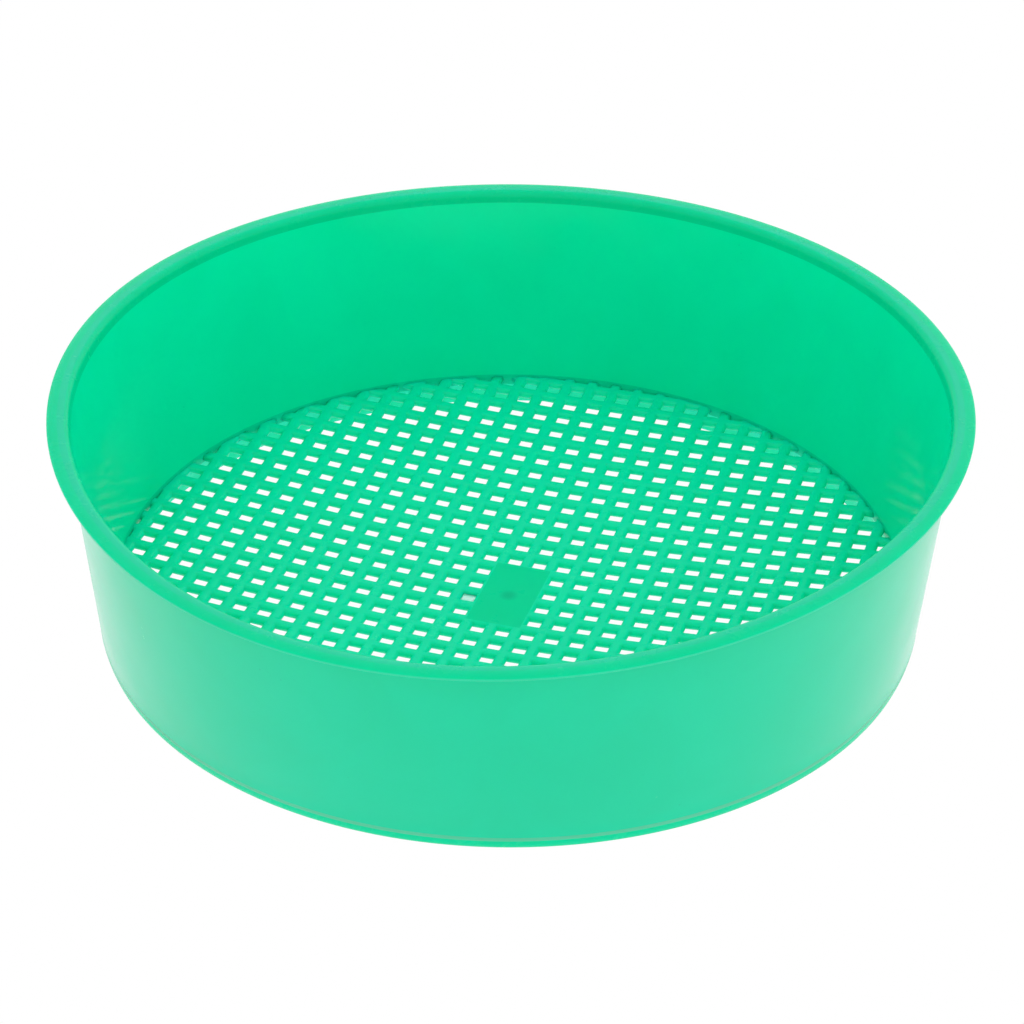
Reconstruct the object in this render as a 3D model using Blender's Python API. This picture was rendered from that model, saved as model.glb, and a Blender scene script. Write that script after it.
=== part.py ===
"""Round garden soil sieve: a tapered moulded hoop, a rolled rim, and a square rib grid that sags in the middle."""
import math

import bmesh
import bpy
from mathutils import Vector
from mathutils.geometry import delaunay_2d_cdt

# ---- driving dimensions, metres -----------------------------------------------------------
GAP = 0.0003                 # between members that touch

HEIGHT = 0.0976              # ground to rim top
RIM_RADIUS = 0.188           # outer edge of the rim
WALL_TOP_RADIUS = 0.1815     # outside of the hoop, where it would meet the rim top
WALL_BASE_RADIUS = 0.1670    # outside of the hoop, where it would meet the ground
WALL_TOP_THICKNESS = 0.0020
WALL_BASE_THICKNESS = 0.0032

RIM_DEPTH = 0.0020           # thickness of the rim flange
RIM_BEND = 0.0025            # radius where the inside of the hoop turns into the rim's top
RIM_FLAT_WIDTH = 0.0035      # level inner part of the rim's top
RIM_EDGE_DROP = 0.0005       # how far the outer part falls before it turns over
RIM_COLLAR = 0.0015          # how far the rim reaches down into the hoop

FOOT_TURN_HEIGHT = 0.0045    # where the foot starts to turn in
FOOT_TURN_IN = 0.0018        # how far the outside of the foot turns in
FOOT_INNER_RADIUS = 0.1640

PITCH = 0.01053              # rib to rib, both ways
RIB_WIDTH = 0.0050
RIB_DEPTH = 0.0014           # each of the two crossing rib layers
RIBS_EACH_SIDE = 15          # ribs on each side of the centre rib
GRID_TURN = math.radians(-16.98)   # the grid's turn about +Z
GRID_CENTRE_HEIGHT = 0.0018  # mid-height of the grid at its centre
SAG_SQUARE = 0.01147         # rise of the grid at SAG_RADIUS, second-power part
SAG_FOURTH = -0.00251        # the same, fourth-power part
SAG_RADIUS = 0.150
PAD_CELLS = (1, 2)           # half-size of the blank centre pad, in cells

CORNER_RADIUS = 0.1608       # inner edge of the thick corner between wall and grid, where ribs end
CORNER_HEIGHT = 0.0045
AROUND = 96                  # facets around every ring
STATION_CELLS = 3            # cells between bend points along a rib

GREEN = (0.012, 0.60, 0.33, 1.0)


# ---- shape of the hoop and the grid -------------------------------------------------------
def wall_outside(z):
    """Outer radius of the tapered hoop at height z."""
    return WALL_BASE_RADIUS + (WALL_TOP_RADIUS - WALL_BASE_RADIUS) * z / HEIGHT


def wall_inside(z):
    return wall_outside(z) - WALL_BASE_THICKNESS + (WALL_BASE_THICKNESS - WALL_TOP_THICKNESS) * z / HEIGHT


def sag_height(radius):
    """Mid-height of the rib grid at a distance from the axis."""
    square = (radius / SAG_RADIUS) ** 2
    return GRID_CENTRE_HEIGHT + SAG_SQUARE * square + SAG_FOURTH * square * square


GRID_EDGE_HEIGHT = sag_height(CORNER_RADIUS)
LAYER_OFFSET = 0.5 * (GAP + RIB_DEPTH)       # layer mid-height from the grid's mid-height
GRID_HALF_DEPTH = LAYER_OFFSET + 0.5 * RIB_DEPTH


def grid_height(point):
    return sag_height(min(math.hypot(point[0], point[1]), CORNER_RADIUS))


# ---- mesh building ------------------------------------------------------------------------
def plastic(name):
    material = bpy.data.materials.new(name)
    material.use_nodes = True
    shader = material.node_tree.nodes["Principled BSDF"]
    shader.inputs["Base Color"].default_value = GREEN
    shader.inputs["Roughness"].default_value = 0.30
    material.diffuse_color = GREEN
    return material


def add_object(name, mesh_builder, smooth):
    mesh = bpy.data.meshes.new(name)
    bmesh.ops.recalc_face_normals(mesh_builder, faces=mesh_builder.faces)
    mesh_builder.to_mesh(mesh)
    mesh_builder.free()
    for polygon in mesh.polygons:
        polygon.use_smooth = smooth
    mesh.materials.append(plastic(name + "_plastic"))
    obj = bpy.data.objects.new(name, mesh)
    bpy.context.scene.collection.objects.link(obj)
    return obj


def revolve(name, profile):
    """Ring made by turning a closed profile of (radius, height) points about +Z."""
    builder = bmesh.new()
    rings = []
    for step in range(AROUND):
        angle = 2.0 * math.pi * step / AROUND
        rings.append([builder.verts.new((r * math.cos(angle), r * math.sin(angle), z)) for r, z in profile])
    count = len(profile)
    for step in range(AROUND):
        here, after = rings[step], rings[(step + 1) % AROUND]
        for k in range(count):
            builder.faces.new((here[k], after[k], after[(k + 1) % count], here[(k + 1) % count]))
    return add_object(name, builder, smooth=True)


def plate(name, loops, low_offset, high_offset):
    """Plate that follows the sagging grid. The first loop is its outline and the others are openings."""
    points, edges = [], []
    for loop in loops:
        start = len(points)
        points += [Vector(p) for p in loop]
        edges += [(start + k, start + (k + 1) % len(loop)) for k in range(len(loop))]
    verts, _, faces, _, _, _ = delaunay_2d_cdt(points, edges, [], 0, 1e-7)
    kept = [face for face in faces if is_material(centroid(verts, face), loops)]

    builder = bmesh.new()
    low = [builder.verts.new((v.x, v.y, grid_height(v) + low_offset)) for v in verts]
    high = [builder.verts.new((v.x, v.y, grid_height(v) + high_offset)) for v in verts]
    for face in kept:
        builder.faces.new([high[k] for k in face])
        builder.faces.new([low[k] for k in reversed(face)])
    for a, b in boundary_edges(kept):
        builder.faces.new((low[a], low[b], high[b], high[a]))
    bmesh.ops.delete(builder, geom=[v for v in builder.verts if not v.link_faces], context="VERTS")
    return add_object(name, builder, smooth=False)


def boundary_edges(faces):
    """Directed edges that belong to one face only."""
    directed = {(a, b) for face in faces for a, b in zip(face, face[1:] + face[:1])}
    return sorted(edge for edge in directed if (edge[1], edge[0]) not in directed)


def centroid(verts, face):
    return sum((verts[k] for k in face), Vector((0.0, 0.0))) / len(face)


def is_material(point, loops):
    return inside(point, loops[0]) and not any(inside(point, hole) for hole in loops[1:])


def inside(point, loop):
    """True when the point is inside the loop, by counting edge crossings."""
    crossings = False
    for (x0, y0), (x1, y1) in zip(loop, loop[1:] + loop[:1]):
        if (y0 > point.y) != (y1 > point.y) and point.x < x0 + (point.y - y0) * (x1 - x0) / (y1 - y0):
            crossings = not crossings
    return crossings


# ---- rib layers ---------------------------------------------------------------------------
def grid_to_object(along, across, lengthwise):
    """Point on a rib layer, from its distance along and across the ribs."""
    u, v = (across, along) if lengthwise else (along, across)
    c, s = math.cos(GRID_TURN), math.sin(GRID_TURN)
    return (c * u - s * v, s * u + c * v)


def layer_openings(lengthwise):
    """Openings of one rib layer: the gaps between its ribs, with those that meet the pad joined into one."""
    half = 0.5 * RIB_WIDTH
    pad_across, pad_along = PAD_CELLS if lengthwise else PAD_CELLS[::-1]
    loops = [slot_loop(k * PITCH + half, (k + 1) * PITCH - half, lengthwise)
             for k in range(-RIBS_EACH_SIDE, RIBS_EACH_SIDE) if not -pad_across <= k < pad_across]
    return loops + [pad_loop(pad_across, pad_along * PITCH - half, lengthwise)]


def rib_side(across, first):
    """Bend points of a rib's side, from a first one out to the hoop."""
    end = math.sqrt(CORNER_RADIUS ** 2 - across ** 2)
    stations = [k * STATION_CELLS * PITCH for k in range(1, 9)]
    return [first] + [s for s in stations if first + 0.002 < s < end - 0.002] + [end]


def arc_points(low, high):
    """Points between two ribs along the hoop's inner circle."""
    start, end = math.asin(low / CORNER_RADIUS), math.asin(high / CORNER_RADIUS)
    steps = max(1, round((end - start) * AROUND / (2.0 * math.pi)))
    angles = [start + (end - start) * k / steps for k in range(1, steps)]
    return [(CORNER_RADIUS * math.cos(a), CORNER_RADIUS * math.sin(a)) for a in angles]


def half_slot(low, high, first_low, first_high):
    """Outline of the gap between two ribs, on the side where along is positive."""
    way_out = [(along, low) for along in rib_side(low, first_low)]
    way_back = [(along, high) for along in reversed(rib_side(high, first_high))]
    return way_out + arc_points(low, high) + way_back


def turned(points):
    """The same points half a turn round."""
    return [(-along, -across) for along, across in points]


def slot_loop(low, high, lengthwise):
    """Opening between two whole ribs, from hoop to hoop."""
    near = half_slot(low, high, 0.0, 0.0)
    far = turned(half_slot(-high, -low, 0.0, 0.0))
    return [grid_to_object(along, across, lengthwise) for along, across in near + far[1:-1]]


def pad_loop(pad_across, pad_end, lengthwise):
    """One comb-shaped opening for the gaps that the pad joins: the ribs between them stop short of it."""
    half = 0.5 * RIB_WIDTH
    tip = pad_end + GAP
    comb = []
    for k in range(-pad_across, pad_across):
        first_low = 0.0 if k == -pad_across else tip
        first_high = 0.0 if k == pad_across - 1 else tip
        comb += half_slot(k * PITCH + half, (k + 1) * PITCH - half, first_low, first_high)
    loop = comb + turned(comb)[1:-1]
    return [grid_to_object(along, across, lengthwise) for along, across in loop]


def rib_layer(name, lengthwise, middle_offset):
    """Parallel ribs and the slice of the hoop's corner that they spring from."""
    outer = wall_outside(GRID_EDGE_HEIGHT)
    rim = [(outer * math.cos(2.0 * math.pi * k / AROUND), outer * math.sin(2.0 * math.pi * k / AROUND))
           for k in range(AROUND)]
    return plate(name, [rim] + layer_openings(lengthwise),
                 middle_offset - 0.5 * RIB_DEPTH, middle_offset + 0.5 * RIB_DEPTH)


# ---- members ------------------------------------------------------------------------------
def rim_flange():
    under = HEIGHT - RIM_DEPTH
    collar = under - RIM_COLLAR
    bend_start = wall_inside(HEIGHT - RIM_BEND)
    bend_end = bend_start + RIM_BEND
    diagonal = RIM_BEND * (1.0 - math.sqrt(0.5))
    revolve("rim_flange", [
        (wall_inside(collar), collar),
        (bend_start, HEIGHT - RIM_BEND),
        (bend_start + diagonal, HEIGHT - diagonal),
        (bend_end, HEIGHT),
        (bend_end + RIM_FLAT_WIDTH, HEIGHT),
        (RIM_RADIUS - 0.0007, HEIGHT - RIM_EDGE_DROP),
        (RIM_RADIUS, HEIGHT - 0.0011),
        (RIM_RADIUS - 0.0004, under),
        (wall_outside(under), under),
        (wall_outside(collar), collar),
    ])


def side_wall():
    low = GRID_EDGE_HEIGHT + GRID_HALF_DEPTH + GAP
    high = HEIGHT - RIM_DEPTH - RIM_COLLAR - GAP
    corner_top = low + CORNER_HEIGHT
    corner_width = wall_inside(corner_top) - CORNER_RADIUS
    revolve("side_wall", [
        (CORNER_RADIUS, low),
        (wall_outside(low), low),
        (wall_outside(high), high),
        (wall_inside(high), high),
        (wall_inside(corner_top), corner_top),
        (CORNER_RADIUS + 0.7 * corner_width, low + 0.3 * CORNER_HEIGHT),
    ])


def foot_skirt():
    high = GRID_EDGE_HEIGHT - GRID_HALF_DEPTH - GAP
    turn = wall_outside(FOOT_TURN_HEIGHT)
    revolve("foot_skirt", [
        (FOOT_INNER_RADIUS, 0.0),
        (turn - FOOT_TURN_IN, 0.0),
        (turn - 0.45 * FOOT_TURN_IN, 0.25 * FOOT_TURN_HEIGHT),
        (turn - 0.12 * FOOT_TURN_IN, 0.6 * FOOT_TURN_HEIGHT),
        (turn, FOOT_TURN_HEIGHT),
        (wall_outside(high), high),
        (wall_inside(high), high),
    ])


def centre_pad():
    """Blank panel between the ribs around the middle, as deep as both rib layers."""
    half_u = PAD_CELLS[0] * PITCH - 0.5 * RIB_WIDTH - GAP
    half_v = PAD_CELLS[1] * PITCH - 0.5 * RIB_WIDTH - GAP
    corners = [(-half_v, -half_u), (half_v, -half_u), (half_v, half_u), (-half_v, half_u)]
    loop = [grid_to_object(along, across, True) for along, across in corners]
    plate("centre_pad", [loop], -GRID_HALF_DEPTH, GRID_HALF_DEPTH)


def main():
    for obj in list(bpy.data.objects):
        bpy.data.objects.remove(obj, do_unlink=True)
    rim_flange()
    side_wall()
    rib_layer("lengthwise_ribs", True, LAYER_OFFSET)
    rib_layer("crosswise_ribs", False, -LAYER_OFFSET)
    centre_pad()
    foot_skirt()


main()
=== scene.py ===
"""Looks of the round green soil sieve: one glossy moulded hoop with a rolled rim, and its square rib grid."""
import math

import bmesh
import bpy
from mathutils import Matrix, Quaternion, Vector


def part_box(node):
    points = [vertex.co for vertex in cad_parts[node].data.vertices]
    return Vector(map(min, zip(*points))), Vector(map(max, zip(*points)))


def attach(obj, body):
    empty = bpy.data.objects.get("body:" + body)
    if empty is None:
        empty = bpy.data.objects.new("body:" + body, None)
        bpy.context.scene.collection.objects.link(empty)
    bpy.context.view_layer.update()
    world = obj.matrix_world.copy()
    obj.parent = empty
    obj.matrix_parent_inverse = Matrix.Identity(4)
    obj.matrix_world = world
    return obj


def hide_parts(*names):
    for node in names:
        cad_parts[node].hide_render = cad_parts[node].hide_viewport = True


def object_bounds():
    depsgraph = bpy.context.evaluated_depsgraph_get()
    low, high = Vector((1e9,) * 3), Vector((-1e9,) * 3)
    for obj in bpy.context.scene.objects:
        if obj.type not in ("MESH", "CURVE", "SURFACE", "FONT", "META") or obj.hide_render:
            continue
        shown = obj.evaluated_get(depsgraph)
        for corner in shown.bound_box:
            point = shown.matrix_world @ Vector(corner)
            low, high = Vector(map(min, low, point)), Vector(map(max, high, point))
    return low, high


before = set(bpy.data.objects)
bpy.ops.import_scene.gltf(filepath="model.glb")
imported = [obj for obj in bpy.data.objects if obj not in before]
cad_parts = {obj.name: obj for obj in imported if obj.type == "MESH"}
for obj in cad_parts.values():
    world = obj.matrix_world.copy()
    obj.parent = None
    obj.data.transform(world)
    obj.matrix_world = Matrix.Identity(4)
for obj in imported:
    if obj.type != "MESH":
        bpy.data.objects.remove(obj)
cad_low, cad_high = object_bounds()

# ---- sizes from the frame, metres ----------------------------------------------------------
HEIGHT = cad_high.z
RIM_RADIUS = cad_high.x
WALL_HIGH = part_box("side_wall")[1]
FOOT_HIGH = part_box("foot_skirt")[1]
PAD_LOW, PAD_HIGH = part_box("centre_pad")
RIBS_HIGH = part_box("lengthwise_ribs")[1]

# ---- hoop ----------------------------------------------------------------------------------
TAPER = (WALL_HIGH.x - FOOT_HIGH.x) / (WALL_HIGH.z - FOOT_HIGH.z)
WALL_TOP_THICKNESS = 0.0020
WALL_BASE_THICKNESS = 0.0080
WALL_STEPS = 14

RIM_DEPTH = 0.0020
RIM_BEND = 0.0030            # radius where the inside of the hoop turns into the rim's top
RIM_BEND_EASE = 0.0020       # straight wall left below that bend
RIM_FLAT_WIDTH = 0.0020      # level middle part of the rim's top
RIM_ROLL_DROP = 0.0010       # how far the outer part rolls down
LIP_RADIUS = 0.0005
FILLET_WIDTH = 0.0009        # soft corner between the wall and the underside of the rim
FILLET_DROP = 0.0008

FOOT_INNER_RADIUS = 0.1640
FOOT_CHAMFER = 0.0005
FOOT_TURN_HEIGHT = 0.0052    # where the foot starts to turn in
FOOT_TURN_IN = 0.0018
FOOT_CURVE = ((1.00, 0.0), (0.80, 0.0003), (0.45, 0.0018), (0.16, 0.0036))     # share of the turn-in, height
CREASE_CURVE = ((-0.00010, 0.0043), (0.00004, 0.0049), (0.00012, 0.0055))      # outwards, height
FOOT_INSIDE = ((0.0, 0.0060), (0.0003, 0.0026), (0.0, 0.0006))                 # outwards, height
WALL_START = 0.0061

# how the free edge has settled: (waves around, cosine part, sine part), full at the rim, nothing at the ground
OUTWARD_WAVES = ((2, -0.00394, 0.00068), (3, 0.00087, 0.00020))
UPWARD_WAVES = ((2, 0.00198, -0.00072), (3, -0.00076, -0.00006))

# ---- rib grid ------------------------------------------------------------------------------
PITCH = 0.01053
RIB_WIDTH = 0.0051
RIB_ROUND = 0.00160          # radius of a rib's rounded sides, half its depth
RIB_BITE = 0.0009            # how far the ribs run on into the wall
RIBS_EACH_SIDE = 16
GRID_TURN = math.radians(-16.98)
GRID_CENTRE_HEIGHT = 0.5 * (PAD_LOW.z + PAD_HIGH.z)
SAG_RADIUS = 0.150
SAG_SQUARE = 0.01147
SAG_FOURTH = -0.00251
PAD_CELLS = (1, 2)           # half-size of the blank pad, in pitches
FILM_CELL = (-1.5, -0.5)     # hole left partly closed by flash, in pitches from the middle
FILM_BITE = 0.0004
FILM_HALF_DEPTH = 0.00015

CORNER_RADIUS = 0.1616       # where the inside of the wall meets the grid
CORNER_STEP = 0.0002         # how far the corner stands above the ribs
# the band of wall painted darker as shade in the corner starts half this height above the grid
CORNER_BAND = 0.0022
CORNER_DEPTH = 0.0036
CORNER_LEAN = 0.0001

# ---- rendering -----------------------------------------------------------------------------
AROUND = 288                 # facets around the hoop
SKY_STRENGTH = (1.0, 1.20)   # from the left to the right
FLOOR_RADIUS = 4.0
FLOOR_CLEARANCE = 0.0002
CAMERA_ELEVATION = math.radians(32.16)
CAMERA_ROLL = math.radians(0.30)
CAMERA_DISTANCE = 1.536
CAMERA_AIM = Vector((0.0012, 0.0193, 0.0320))
CAMERA_LENS = 131.0


def wall_outside(z):
    return WALL_HIGH.x + TAPER * (z - WALL_HIGH.z)


def wall_inside(z):
    return wall_outside(z) - WALL_BASE_THICKNESS + (WALL_BASE_THICKNESS - WALL_TOP_THICKNESS) * z / HEIGHT


def sag_height(radius):
    """Mid-height of the rib grid at a distance from the axis."""
    square = (radius / SAG_RADIUS) ** 2
    return GRID_CENTRE_HEIGHT + SAG_SQUARE * square + SAG_FOURTH * square * square


CORNER_HIGH = sag_height(CORNER_RADIUS) + RIB_ROUND + CORNER_STEP


# ---- node helpers --------------------------------------------------------------------------
def new_material(name):
    material = bpy.data.materials.new(name)
    material.use_nodes = True
    nodes, links = material.node_tree.nodes, material.node_tree.links
    return material, nodes, links, nodes["Principled BSDF"]


def add_node(nodes, kind, **settings):
    """New node; each setting is one of its inputs, or else one of its properties."""
    node = nodes.new(kind)
    for key, value in settings.items():
        if key in node.inputs:
            node.inputs[key].default_value = value
        else:
            setattr(node, key, value)
    return node


def noise(nodes, links, place, **settings):
    """Socket of a noise pattern fixed to the object."""
    node = add_node(nodes, "ShaderNodeTexNoise", **settings)
    links.new(place, node.inputs["Vector"])
    return node.outputs["Fac"]


def ramp(nodes, links, source, low, high, low_value, high_value):
    """Socket that carries one range of values over to another."""
    node = nodes.new("ShaderNodeMapRange")
    for key, value in zip(("From Min", "From Max", "To Min", "To Max"), (low, high, low_value, high_value)):
        node.inputs[key].default_value = value
    links.new(source, node.inputs["Value"])
    return node.outputs["Result"]


def mix_into(nodes, links, colour, second, amount):
    """Socket of a colour blended towards a second, fixed colour."""
    node = nodes.new("ShaderNodeMix")
    node.data_type = "RGBA"
    node.inputs["B"].default_value = (*second, 1.0)
    links.new(colour, node.inputs["A"])
    links.new(amount, node.inputs["Factor"])
    return node.outputs["Result"]


# ---- green plastic -------------------------------------------------------------------------
def green_plastic(name, base, roughness, ior, subsurface=0.5, sheen=0.0, speck_density=0.4, gate_mark=False):
    """Green polypropylene with light bleeding through it."""
    material, nodes, links, shader = new_material(name)
    shader.inputs["IOR"].default_value = ior
    shader.inputs["Sheen Weight"].default_value = sheen
    shader.inputs["Sheen Roughness"].default_value = 0.35
    shader.inputs["Subsurface Weight"].default_value = subsurface
    shader.inputs["Subsurface Radius"].default_value = (0.25, 1.0, 0.7)
    shader.inputs["Subsurface Scale"].default_value = 0.004

    place = nodes.new("ShaderNodeTexCoord").outputs["Object"]
    colour = flowing_colour(nodes, links, place, base)
    colour = add_specks(nodes, links, place, colour, speck_density)
    if gate_mark:
        colour = darken_gate(nodes, links, place, colour)
    links.new(colour, shader.inputs["Base Color"])

    wear = noise(nodes, links, place, Scale=60.0, Detail=6.0, Roughness=0.65)
    gloss = ramp(nodes, links, wear, 0.3, 0.8, roughness - 0.05, roughness + 0.10)
    links.new(gloss, shader.inputs["Roughness"])
    links.new(moulded_relief(nodes, links, place), shader.inputs["Normal"])
    return material


def flowing_colour(nodes, links, place, base):
    """Faint streaks of deeper green, as the plastic flowed in the mould."""
    flow = noise(nodes, links, place, Scale=22.0, Detail=4.0, Roughness=0.6, Distortion=0.6)
    amount = ramp(nodes, links, flow, 0.35, 0.75, 0.0, 1.0)
    blend = nodes.new("ShaderNodeMix")
    blend.data_type = "RGBA"
    blend.inputs["A"].default_value = (*base, 1.0)
    blend.inputs["B"].default_value = (base[0], 0.955 * base[1], 0.93 * base[2], 1.0)
    links.new(amount, blend.inputs["Factor"])
    return blend.outputs["Result"]


def add_specks(nodes, links, place, colour, density):
    """Sparse tiny dark specks, in patches."""
    dots = add_node(nodes, "ShaderNodeTexVoronoi", Scale=330.0, Randomness=1.0)
    links.new(place, dots.inputs["Vector"])
    dot_mask = ramp(nodes, links, dots.outputs["Distance"], 0.05, 0.12, 1.0, 0.0)
    patches = noise(nodes, links, place, Scale=35.0, Detail=2.0)
    patch_mask = ramp(nodes, links, patches, 0.66, 0.70, 0.0, density)
    speck = add_node(nodes, "ShaderNodeMath", operation="MULTIPLY")
    links.new(dot_mask, speck.inputs[0])
    links.new(patch_mask, speck.inputs[1])
    return mix_into(nodes, links, colour, (0.01, 0.22, 0.13), speck.outputs["Value"])


def darken_gate(nodes, links, place, colour):
    """A small dark sprue mark on the axis."""
    away = add_node(nodes, "ShaderNodeVectorMath", operation="LENGTH")
    links.new(place, away.inputs[0])
    mark = ramp(nodes, links, away.outputs["Value"], 0.0036, 0.0056, 0.55, 0.0)
    return mix_into(nodes, links, colour, (0.0, 0.36, 0.19), mark)


def moulded_relief(nodes, links, place):
    """Slow waviness of the moulding, and a fine grain on top of it."""
    wave_bump = add_node(nodes, "ShaderNodeBump", Strength=0.25, Distance=0.002)
    links.new(noise(nodes, links, place, Scale=14.0, Detail=2.0), wave_bump.inputs["Height"])
    grain_bump = add_node(nodes, "ShaderNodeBump", Strength=0.12, Distance=0.0001)
    links.new(noise(nodes, links, place, Scale=1500.0, Detail=3.0), grain_bump.inputs["Height"])
    links.new(wave_bump.outputs["Normal"], grain_bump.inputs["Normal"])
    return grain_bump.outputs["Normal"]


# ---- mesh helpers --------------------------------------------------------------------------
def to_object(name, builder, *materials):
    mesh = bpy.data.meshes.new(name)
    bmesh.ops.recalc_face_normals(builder, faces=builder.faces)
    builder.to_mesh(mesh)
    builder.free()
    mesh.shade_smooth()
    for material in materials:
        mesh.materials.append(material)
    obj = bpy.data.objects.new(name, mesh)
    bpy.context.scene.collection.objects.link(obj)
    return obj


def arc(centre_r, centre_z, radius, start_deg, end_deg, steps):
    """Points of an arc in the (radius, height) plane, from one angle to another."""
    turn = (end_deg - start_deg) / steps
    angles = [math.radians(start_deg + turn * k) for k in range(steps + 1)]
    return [(centre_r + radius * math.cos(a), centre_z + radius * math.sin(a)) for a in angles]


def spaced(start, end, steps):
    """Heights from start to end, both ends in."""
    return [start + (end - start) * k / steps for k in range(steps + 1)]


def settle(radius, angle, height):
    """Where a point of the round hoop lies once the free edge has gone oval and wavy."""
    share = height / HEIGHT
    out = sum(c * math.cos(n * angle) + s * math.sin(n * angle) for n, c, s in OUTWARD_WAVES)
    up = sum(c * math.cos(n * angle) + s * math.sin(n * angle) for n, c, s in UPWARD_WAVES)
    radius += share * out
    return radius * math.cos(angle), radius * math.sin(angle), height + share * up


def settled_rings(builder, profile):
    """Vertices of a (radius, height) profile at each step around the settled hoop."""
    angles = [2.0 * math.pi * step / AROUND for step in range(AROUND)]
    return [[builder.verts.new(settle(r, a, z)) for r, z in profile] for a in angles]


def lathe(name, bands, materials):
    """Turns a closed section around the axis. Each band is (material index, points) and follows on the last."""
    profile, kinds = [], []
    for kind, points in bands:
        profile += points
        kinds += [kind] * len(points)
    builder = bmesh.new()
    rings = settled_rings(builder, profile)
    count = len(profile)
    for here, after in zip(rings, rings[1:] + rings[:1]):
        for k in range(count):
            face = builder.faces.new((here[k], after[k], after[(k + 1) % count], here[(k + 1) % count]))
            face.material_index = kinds[k]
    return to_object(name, builder, *materials)


# ---- moulded hoop --------------------------------------------------------------------------
# bands of the hoop's section; every band but the outside carries painted light or painted shade in its green
OUTER, INNER_LIT, RIM_FLAT_SHADED, RIM_ROLL_SHADED, LIP_HIGHLIGHT, FOOT_SHADED, CREASE_HIGHLIGHT, CORNER_SHADE, BELOW_LIT = range(9)


def hoop_materials():
    """One green for each part of the hoop, in the order of the numbers above. Besides the outside green they
    are lit and shaded copies of one plastic: painted light and painted shade.
    """
    return (
        green_plastic("outer_plastic", (0.0, 0.64, 0.36), 0.20, 1.30, sheen=0.36),
        # painted light: the inside of the wall is a brighter green than the outside, for light shining through
        # the thin wall
        green_plastic("inner_lit_plastic", (0.0, 0.755, 0.42), 0.15, 1.26, speck_density=0.25),
        # painted shade: darker copy of the green for the level top of the rim
        green_plastic("rim_flat_shaded_plastic", (0.0, 0.575, 0.33), 0.25, 1.25),
        # painted shade: darker copy of the green for the rolled outer part of the rim and the bend into the
        # hoop
        green_plastic("rim_roll_shaded_plastic", (0.0, 0.60, 0.305), 0.25, 1.17),
        # painted highlight: paler green along the lip of the rim
        green_plastic("lip_highlight_plastic", (0.02, 0.61, 0.355), 0.35, 1.33),
        # painted shade: copy with weaker reflection for the foot, standing in for the darker ground it reflects
        green_plastic("foot_shaded_plastic", (0.0, 0.67, 0.34), 0.25, 1.12),
        # painted highlight: paler green along the crease where the foot turns in
        green_plastic("crease_highlight_plastic", (0.085, 0.56, 0.335), 0.35, 1.33),
        # painted shade: darker green in the corner where the wall meets the grid
        green_plastic("corner_shade_plastic", (0.0, 0.62, 0.35), 0.25, 1.12),
        # painted light: bright green for the inside of the foot below the grid, for the light glowing through
        # it
        green_plastic("foot_inner_lit_plastic", (0.02, 0.84, 0.54), 0.25, 1.12),
    )


def foot_bands():
    """Outside of the foot, from its inner edge on the ground up to the crease."""
    turn = wall_outside(FOOT_TURN_HEIGHT)
    # the turned-in foot takes the dimmed copy of the green, painted shade
    foot = [(FOOT_INNER_RADIUS + FOOT_CHAMFER, 0.0)]
    foot += [(turn - share * FOOT_TURN_IN, z) for share, z in FOOT_CURVE]
    # the crease band takes a paler green, a painted highlight
    crease = [(turn + out, z) for out, z in CREASE_CURVE]
    return [(FOOT_SHADED, foot), (CREASE_HIGHLIGHT, crease)]


def outside_bands():
    """Outside of the wall, the underside of the rim, and the lip."""
    under = HEIGHT - RIM_DEPTH
    fillet = wall_outside(under)
    outside = [(wall_outside(z), z) for z in spaced(WALL_START, under - FILLET_DROP, WALL_STEPS)]
    outside += [(fillet + FILLET_WIDTH / 3.0, under - FILLET_DROP / 4.0)]
    shelf = [(fillet + FILLET_WIDTH, under), (RIM_RADIUS - FILLET_WIDTH, under)]
    lip = arc(RIM_RADIUS - LIP_RADIUS, under + LIP_RADIUS, LIP_RADIUS, -80.0, 0.0, 4)
    # the lip takes a paler green, a painted highlight
    return [(OUTER, outside + shelf), (LIP_HIGHLIGHT, lip)]


def rim_bands():
    """Top of the rim, from its outer edge to the bend into the hoop."""
    bend_centre = wall_inside(HEIGHT - RIM_BEND) + RIM_BEND
    flat_end = bend_centre + RIM_FLAT_WIDTH
    roll_width = RIM_RADIUS - flat_end
    roll_angles = [math.radians(a) for a in (4.0, 16.0, 28.0, 40.0, 52.0, 64.0, 78.0)]
    roll = [(flat_end + roll_width * math.cos(a), HEIGHT - RIM_ROLL_DROP * (1.0 - math.sin(a)))
            for a in roll_angles]
    level = [(flat_end, HEIGHT), (bend_centre, HEIGHT)]
    bend = arc(bend_centre, HEIGHT - RIM_BEND, RIM_BEND, 105.0, 180.0, 6)
    # both parts of the rim's top take darker greens, painted shade
    return [(RIM_ROLL_SHADED, roll), (RIM_FLAT_SHADED, level), (RIM_ROLL_SHADED, bend)]


def inside_bands():
    """Inside of the wall down to the grid, and the inside of the foot below the grid."""
    wall_end = CORNER_HIGH + CORNER_BAND
    # inside of the wall: brighter green, painted light
    inside = [(wall_inside(z), z) for z in spaced(HEIGHT - RIM_BEND - RIM_BEND_EASE, wall_end, WALL_STEPS)]
    # corner band: darker green, painted shade
    corner = [(wall_inside(z), z) for z in spaced(CORNER_HIGH + 0.5 * CORNER_BAND, CORNER_HIGH, 2)]
    # below the grid: bright green, painted light
    below = [(wall_inside(CORNER_HIGH) - CORNER_LEAN, CORNER_HIGH - CORNER_DEPTH)]
    below += [(FOOT_INNER_RADIUS + out, z) for out, z in FOOT_INSIDE]
    return [(INNER_LIT, inside), (CORNER_SHADE, corner), (BELOW_LIT, below)]


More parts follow.
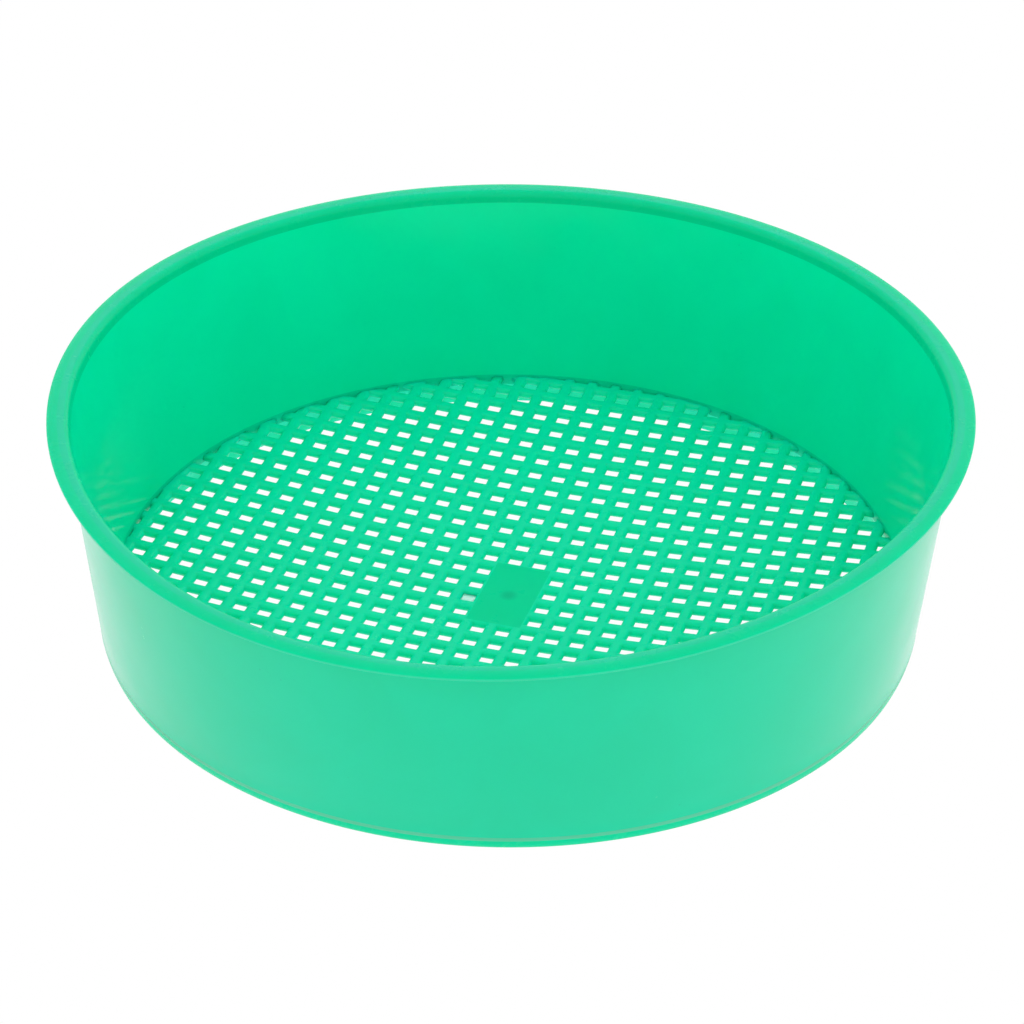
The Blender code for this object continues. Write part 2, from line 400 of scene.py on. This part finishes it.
def moulded_hoop():
    bands = foot_bands() + outside_bands() + rim_bands() + inside_bands()
    return lathe("moulded_hoop", bands, hoop_materials())


# ---- rib grid mesh -------------------------------------------------------------------------
RIBS, PAD, FILM = range(3)
RIB_FLAT = 0.5 * RIB_WIDTH - RIB_ROUND       # half-width of a rib's level top


def grid_materials():
    """Greens of the ribs, of the pad with its gate mark, and of the half-clear film of flash."""
    film = green_plastic("film_plastic", (0.30, 0.80, 0.62), 0.30, 1.30)
    film.node_tree.nodes["Principled BSDF"].inputs["Alpha"].default_value = 0.45
    return (
        green_plastic("rib_plastic", (0.0, 0.69, 0.40), 0.28, 1.17, subsurface=0.6),
        green_plastic("pad_plastic", (0.0, 0.62, 0.315), 0.30, 1.10, subsurface=0.6, gate_mark=True),
        film,
    )


def half_depth(distance):
    """Half the depth of a rib at a distance from its middle."""
    if distance <= RIB_FLAT:
        return RIB_ROUND
    return math.sqrt(max(0.0, RIB_ROUND ** 2 - (distance - RIB_FLAT) ** 2))


def grid_lines():
    """Sorted coordinates of every mesh line across the ribs, each with its distance from its rib."""
    offsets = [RIB_FLAT + RIB_ROUND * math.cos(math.radians(a)) for a in (0.0, 35.0, 65.0, 90.0)]
    lines = []
    for k in range(-RIBS_EACH_SIDE, RIBS_EACH_SIDE + 1):
        for d in offsets:
            lines += [(k * PITCH - d, d), (k * PITCH + d, d)]
    return sorted(lines)


def strip_middle(lines, k):
    """Middle of the strip between two neighbouring mesh lines."""
    return 0.5 * (lines[k][0] + lines[k + 1][0])


def is_gap(lines, k):
    """True for a strip that lies between two ribs."""
    middle = strip_middle(lines, k)
    return abs(middle - round(middle / PITCH) * PITCH) > 0.5 * RIB_WIDTH


def on_pad(lines, i, j):
    u, v = strip_middle(lines, i), strip_middle(lines, j)
    return abs(u) < PAD_CELLS[0] * PITCH + RIB_FLAT and abs(v) < PAD_CELLS[1] * PITCH + RIB_FLAT


def is_solid(lines, i, j, reach):
    """True for a cell of the mesh that holds plastic."""
    if math.hypot(strip_middle(lines, i), strip_middle(lines, j)) > reach + PITCH:
        return False
    return on_pad(lines, i, j) or not (is_gap(lines, i) and is_gap(lines, j))


def grid_place(u, v):
    """Place on the sagging grid's middle surface, from distances along and across the ribs."""
    c, s = math.cos(GRID_TURN), math.sin(GRID_TURN)
    x, y = c * u - s * v, s * u + c * v
    return x, y, sag_height(math.hypot(x, y))


def grid_corner(builder, lines, i, j):
    """Top and bottom vertices where two mesh lines cross, or the same one twice where the grid thins out."""
    (u, from_rib_u), (v, from_rib_v) = lines[i], lines[j]
    depth = max(half_depth(from_rib_u), half_depth(from_rib_v))
    if abs(u) < PAD_CELLS[0] * PITCH and abs(v) < PAD_CELLS[1] * PITCH:
        depth = RIB_ROUND
    x, y, z = grid_place(u, v)
    top = builder.verts.new((x, y, z + depth))
    bottom = top if depth < 1e-9 else builder.verts.new((x, y, z - depth))
    return top, bottom


def close_sides(builder, cells, cell, ring):
    """Upright faces of a cell towards the holes next to it, where the grid has depth there."""
    i, j = cell
    for k, neighbour in enumerate(((i, j - 1), (i + 1, j), (i, j + 1), (i - 1, j))):
        a, b = ring[k], ring[(k + 1) % 4]
        if neighbour in cells or (a[0] is a[1] and b[0] is b[1]):
            continue
        face = [a[0], a[1]] if a[0] is not a[1] else [a[0]]
        face += [b[1], b[0]] if b[0] is not b[1] else [b[0]]
        builder.faces.new(face)


def rib_grid():
    """The whole grid as one closed mesh that follows the sag."""
    lines = grid_lines()
    reach = wall_inside(RIBS_HIGH.z)
    strips = range(len(lines) - 1)
    cells = {(i, j) for i in strips for j in strips if is_solid(lines, i, j, reach)}
    builder = bmesh.new()
    made = {}

    def corner(i, j):
        if (i, j) not in made:
            made[(i, j)] = grid_corner(builder, lines, i, j)
        return made[(i, j)]

    for i, j in sorted(cells):
        ring = [corner(i, j), corner(i + 1, j), corner(i + 1, j + 1), corner(i, j + 1)]
        top = builder.faces.new([pair[0] for pair in ring])
        builder.faces.new([pair[1] for pair in reversed(ring)])
        top.material_index = PAD if on_pad(lines, i, j) else RIBS
        close_sides(builder, cells, (i, j), ring)
    return to_object("rib_grid", builder, *grid_materials())


def hoop_cutter():
    """Closed plug that fills the hoop, and the first bit of its wall, around the grid."""
    radius = wall_inside(CORNER_HIGH) + RIB_BITE
    builder = bmesh.new()
    rings = settled_rings(builder, [(radius, -0.004), (radius, 0.040)])
    for here, after in zip(rings, rings[1:] + rings[:1]):
        builder.faces.new((here[0], after[0], after[1], here[1]))
    builder.faces.new([ring[0] for ring in reversed(rings)])
    builder.faces.new([ring[1] for ring in rings])
    return to_object("hoop_cutter", builder)


def clip_to_hoop(obj):
    """Ends the ribs inside the hoop's wall."""
    cutter = hoop_cutter()
    modifier = obj.modifiers.new("clip", "BOOLEAN")
    modifier.operation = "INTERSECT"
    modifier.solver = "MANIFOLD"
    modifier.object = cutter
    bpy.context.view_layer.update()
    clipped = bpy.data.meshes.new_from_object(obj.evaluated_get(bpy.context.evaluated_depsgraph_get()))
    obj.modifiers.clear()
    obj.data = clipped
    clipped.shade_smooth()
    bpy.data.objects.remove(cutter, do_unlink=True)


def add_flash_film(obj):
    """A thin skin of plastic left across one hole beside the pad."""
    half = 0.5 * (PITCH - RIB_WIDTH) + FILM_BITE
    builder = bmesh.new()
    builder.from_mesh(obj.data)
    low, high = [], []
    for side_u, side_v in ((-1, -1), (1, -1), (1, 1), (-1, 1)):
        x, y, z = grid_place(FILM_CELL[0] * PITCH + side_u * half, FILM_CELL[1] * PITCH + side_v * half)
        low.append(builder.verts.new((x, y, z - FILM_HALF_DEPTH)))
        high.append(builder.verts.new((x, y, z + FILM_HALF_DEPTH)))
    faces = [builder.faces.new(low[::-1]), builder.faces.new(high)]
    for k in range(4):
        after = (k + 1) % 4
        faces.append(builder.faces.new((low[k], low[after], high[after], high[k])))
    for face in faces:
        face.material_index = FILM
    builder.to_mesh(obj.data)
    builder.free()


# ---- stage ---------------------------------------------------------------------------------
def make_floor():
    """White floor that is clear from below."""
    material, nodes, links, shader = new_material("studio_floor")
    glow = add_node(nodes, "ShaderNodeEmission", Strength=1.0)
    clear = nodes.new("ShaderNodeBsdfTransparent")
    side = nodes.new("ShaderNodeNewGeometry")
    mix = nodes.new("ShaderNodeMixShader")
    links.new(side.outputs["Backfacing"], mix.inputs["Fac"])
    links.new(glow.outputs["Emission"], mix.inputs[1])
    links.new(clear.outputs["BSDF"], mix.inputs[2])
    links.new(mix.outputs["Shader"], nodes["Material Output"].inputs["Surface"])
    nodes.remove(shader)

    builder = bmesh.new()
    bmesh.ops.create_circle(builder, cap_ends=True, segments=96, radius=FLOOR_RADIUS)
    floor = to_object("studio_floor", builder, material)
    floor.location.z = -FLOOR_CLEARANCE


def make_sky():
    """White surroundings, a little brighter towards the right."""
    world = bpy.data.worlds.new("studio")
    world.use_nodes = True
    nodes, links = world.node_tree.nodes, world.node_tree.links
    background = nodes["Background"]
    background.inputs["Color"].default_value = (1.0, 1.0, 1.0, 1.0)
    place = nodes.new("ShaderNodeTexCoord")
    split = nodes.new("ShaderNodeSeparateXYZ")
    links.new(place.outputs["Generated"], split.inputs["Vector"])
    strength = ramp(nodes, links, split.outputs["X"], -1.0, 1.0, *SKY_STRENGTH)
    links.new(strength, background.inputs["Strength"])
    bpy.context.scene.world = world
    bpy.context.scene.view_settings.view_transform = "Standard"


def make_camera():
    forward = Vector((0.0, math.cos(CAMERA_ELEVATION), -math.sin(CAMERA_ELEVATION)))
    data = bpy.data.cameras.new("camera")
    data.lens = CAMERA_LENS
    data.clip_end = 30.0
    camera = bpy.data.objects.new("camera", data)
    camera.location = CAMERA_AIM - forward * CAMERA_DISTANCE
    camera.rotation_mode = "QUATERNION"
    roll = Quaternion((0.0, 0.0, 1.0), CAMERA_ROLL)
    camera.rotation_quaternion = forward.to_track_quat("-Z", "Y") @ roll
    bpy.context.scene.collection.objects.link(camera)
    bpy.context.scene.camera = camera


def main():
    make_floor()
    make_sky()
    make_camera()

    hoop = moulded_hoop()
    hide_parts("rim_flange", "side_wall", "foot_skirt")
    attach(hoop, "root")

    grid = rib_grid()
    clip_to_hoop(grid)
    add_flash_film(grid)
    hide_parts("lengthwise_ribs", "crosswise_ribs", "centre_pad")
    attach(grid, "root")


main()
